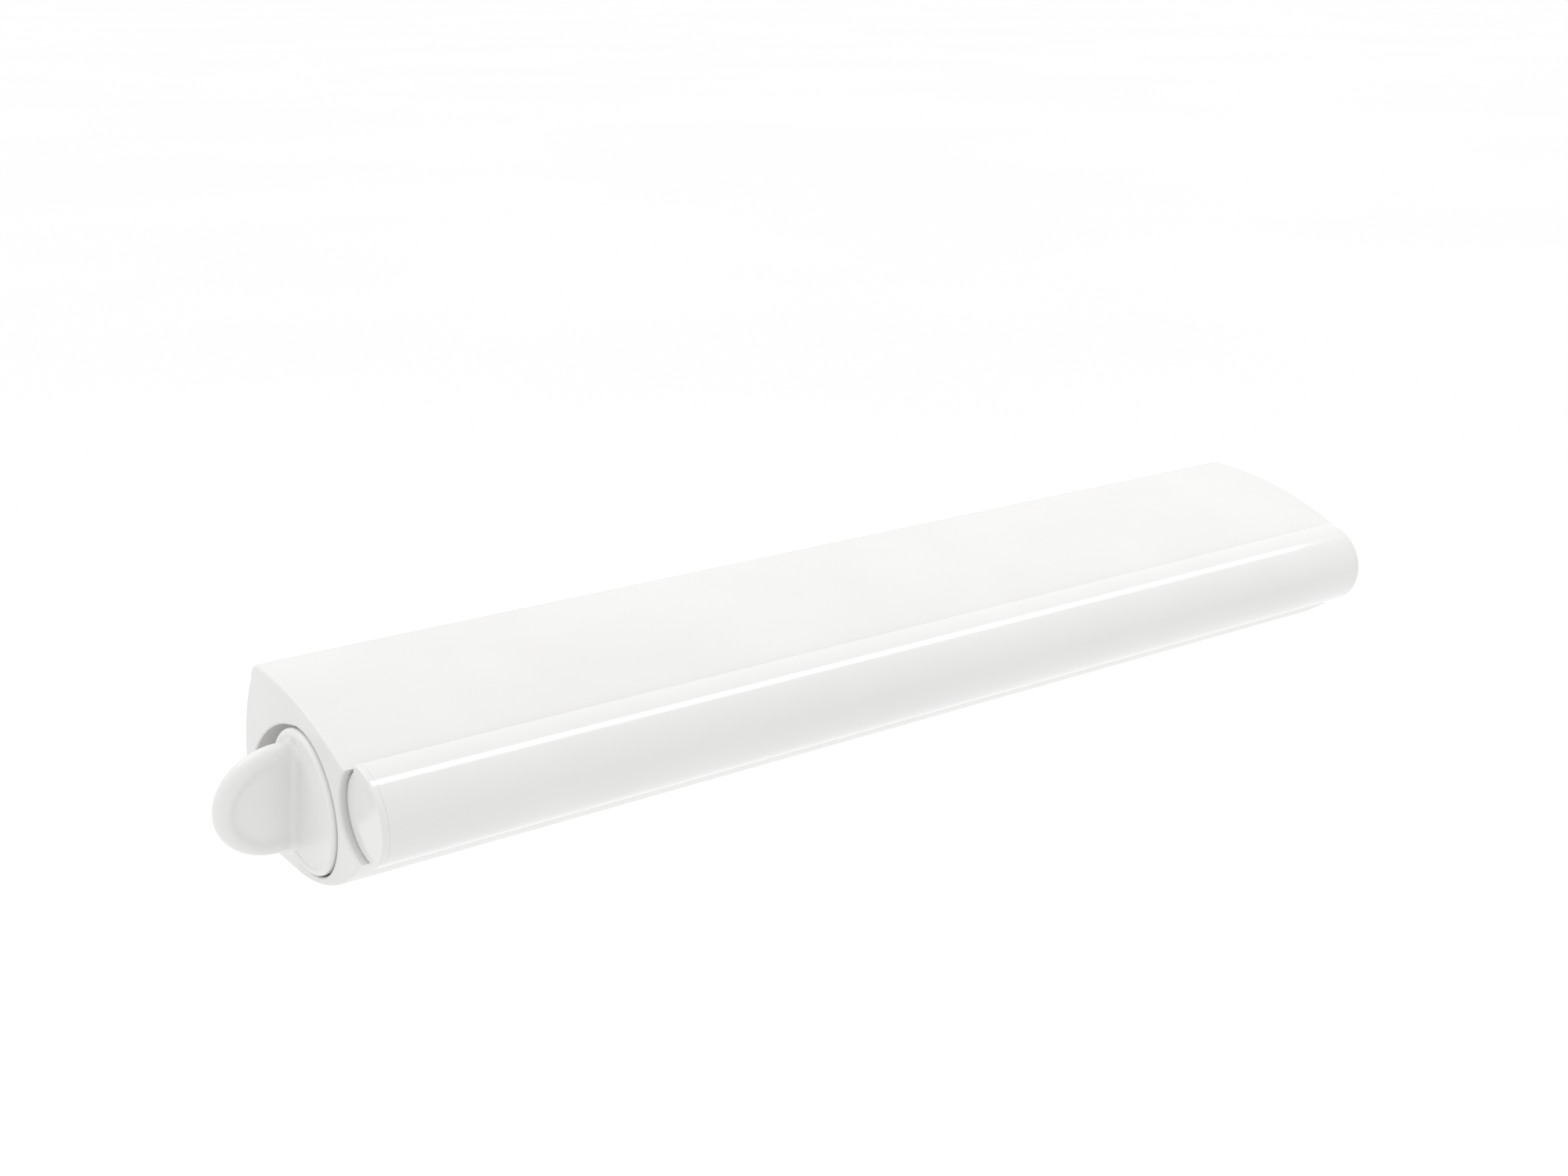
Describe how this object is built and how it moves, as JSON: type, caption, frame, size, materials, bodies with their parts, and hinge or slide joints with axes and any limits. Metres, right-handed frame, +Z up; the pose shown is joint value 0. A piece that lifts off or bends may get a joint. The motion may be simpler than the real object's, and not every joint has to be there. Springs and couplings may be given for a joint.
{
  "type": "retractable clothesline",
  "caption": "Wall-mounted retractable clothesline: a long case with a sprung drum of lines, a pull bar nested in a hollow along its front, and a press-and-turn tensioning knob in one end.",
  "frame": {"origin": "centre of the case's flat wall face", "axes": "+X along the case towards the plain end cap (the knob is at the -X end), +Y out of the wall face into the wall, +Z up"},
  "size_m": [0.5356, 0.1159, 0.0729],
  "materials": {
    "satin_white_case": "satin moulded ABS, white",
    "gloss_white_bar": "glossy extruded plastic, white",
    "white_knob": "semi-gloss moulded plastic, white",
    "grey_plastic": "matt moulded plastic, grey",
    "bearing_plastic": "slippery acetal, off-white",
    "line": "smooth coated clothesline, white",
    "zinc_steel": "zinc-plated steel",
    "spring_steel": "oiled spring steel",
    "drawn_aluminium": "drawn tube"
  },
  "bodies": {
    "housing": {"front_shell": "satin_white_case", "rear_shell": "satin_white_case", "end_cap_left": "satin_white_case", "end_cap_right": "satin_white_case", "bearing_plate_left": "grey_plastic", "bearing_plate_right": "grey_plastic", "bush_left": "bearing_plastic", "bush_right": "bearing_plastic", "spring_arbor": "zinc_steel", "wall_bracket_left": "zinc_steel", "wall_bracket_right": "zinc_steel", "pawl_pin": "zinc_steel", "pawl_spring": "spring_steel", "knob_spring": "spring_steel", "cap_screw_left_1": "zinc_steel", "cap_screw_left_2": "zinc_steel", "cap_screw_right_1": "zinc_steel", "cap_screw_right_2": "zinc_steel", "line_eyelet_1": "bearing_plastic", "line_eyelet_2": "bearing_plastic", "line_eyelet_3": "bearing_plastic", "line_eyelet_4": "bearing_plastic", "line_eyelet_5": "bearing_plastic", "line_lead_1": "line", "line_lead_2": "line", "line_lead_3": "line", "line_lead_4": "line", "line_lead_5": "line"},
    "drum": {"drum_tube": "drawn_aluminium", "drum_plug_left": "grey_plastic", "drum_plug_right": "grey_plastic", "drum_divider_1": "grey_plastic", "drum_divider_2": "grey_plastic", "drum_divider_3": "grey_plastic", "drum_divider_4": "grey_plastic", "line_winding_1": "line", "line_winding_2": "line", "line_winding_3": "line", "line_winding_4": "line", "line_winding_5": "line", "ratchet_wheel": "grey_plastic", "spring_cup": "grey_plastic", "power_spring": "spring_steel"},
    "knob_carrier": {"knob_sleeve": "bearing_plastic"},
    "knob": {"knob": "white_knob", "knob_spindle": "bearing_plastic", "drive_dog": "grey_plastic"},
    "pawl": {"pawl": "zinc_steel"},
    "pull_bar": {"bar_shell": "gloss_white_bar", "bar_back": "gloss_white_bar", "bar_cap_left": "gloss_white_bar", "bar_cap_right": "gloss_white_bar", "hook_plate_left": "zinc_steel", "hook_plate_right": "zinc_steel", "line_anchor_1": "grey_plastic", "line_anchor_2": "grey_plastic", "line_anchor_3": "grey_plastic", "line_anchor_4": "grey_plastic", "line_anchor_5": "grey_plastic"}
  },
  "joints": [
    {"name": "pull_out", "type": "slide", "parent": "housing", "child": "pull_bar", "axis": [0, -1, 0], "range_m": [0, 4.2], "stiffness_N_per_m": 2, "springref_m": -3, "deforming": ["line_lead_1", "line_lead_2", "line_lead_3", "line_lead_4", "line_lead_5"]},
    {"name": "drum_spin", "type": "hinge", "parent": "housing", "child": "drum", "pos_m": [0, -0.0564, 0.0135], "axis": [1, 0, 0], "range_deg": [0, 12600]},
    {"name": "knob_press", "type": "slide", "parent": "housing", "child": "knob_carrier", "axis": [1, 0, 0], "range_m": [0, 0.005], "stiffness_N_per_m": 800, "springref_m": -0.004, "deforming": ["knob_spring"]},
    {"name": "knob_turn", "type": "hinge", "parent": "knob_carrier", "child": "knob", "pos_m": [-0.25, -0.0564, 0.0135], "axis": [1, 0, 0], "continuous": true},
    {"name": "pawl_swing", "type": "hinge", "parent": "housing", "child": "pawl", "pos_m": [-0.212, -0.0264, 0.0355], "axis": [1, 0, 0], "range_deg": [-12.01, 0]}
  ],
  "couplings": [
    {"joint": "drum_spin", "follows": "pull_out", "rad_per_m": 52.36},
    {"joint": "pawl_swing", "follows": "knob_press", "rad_per_m": -41.888}
  ]
}
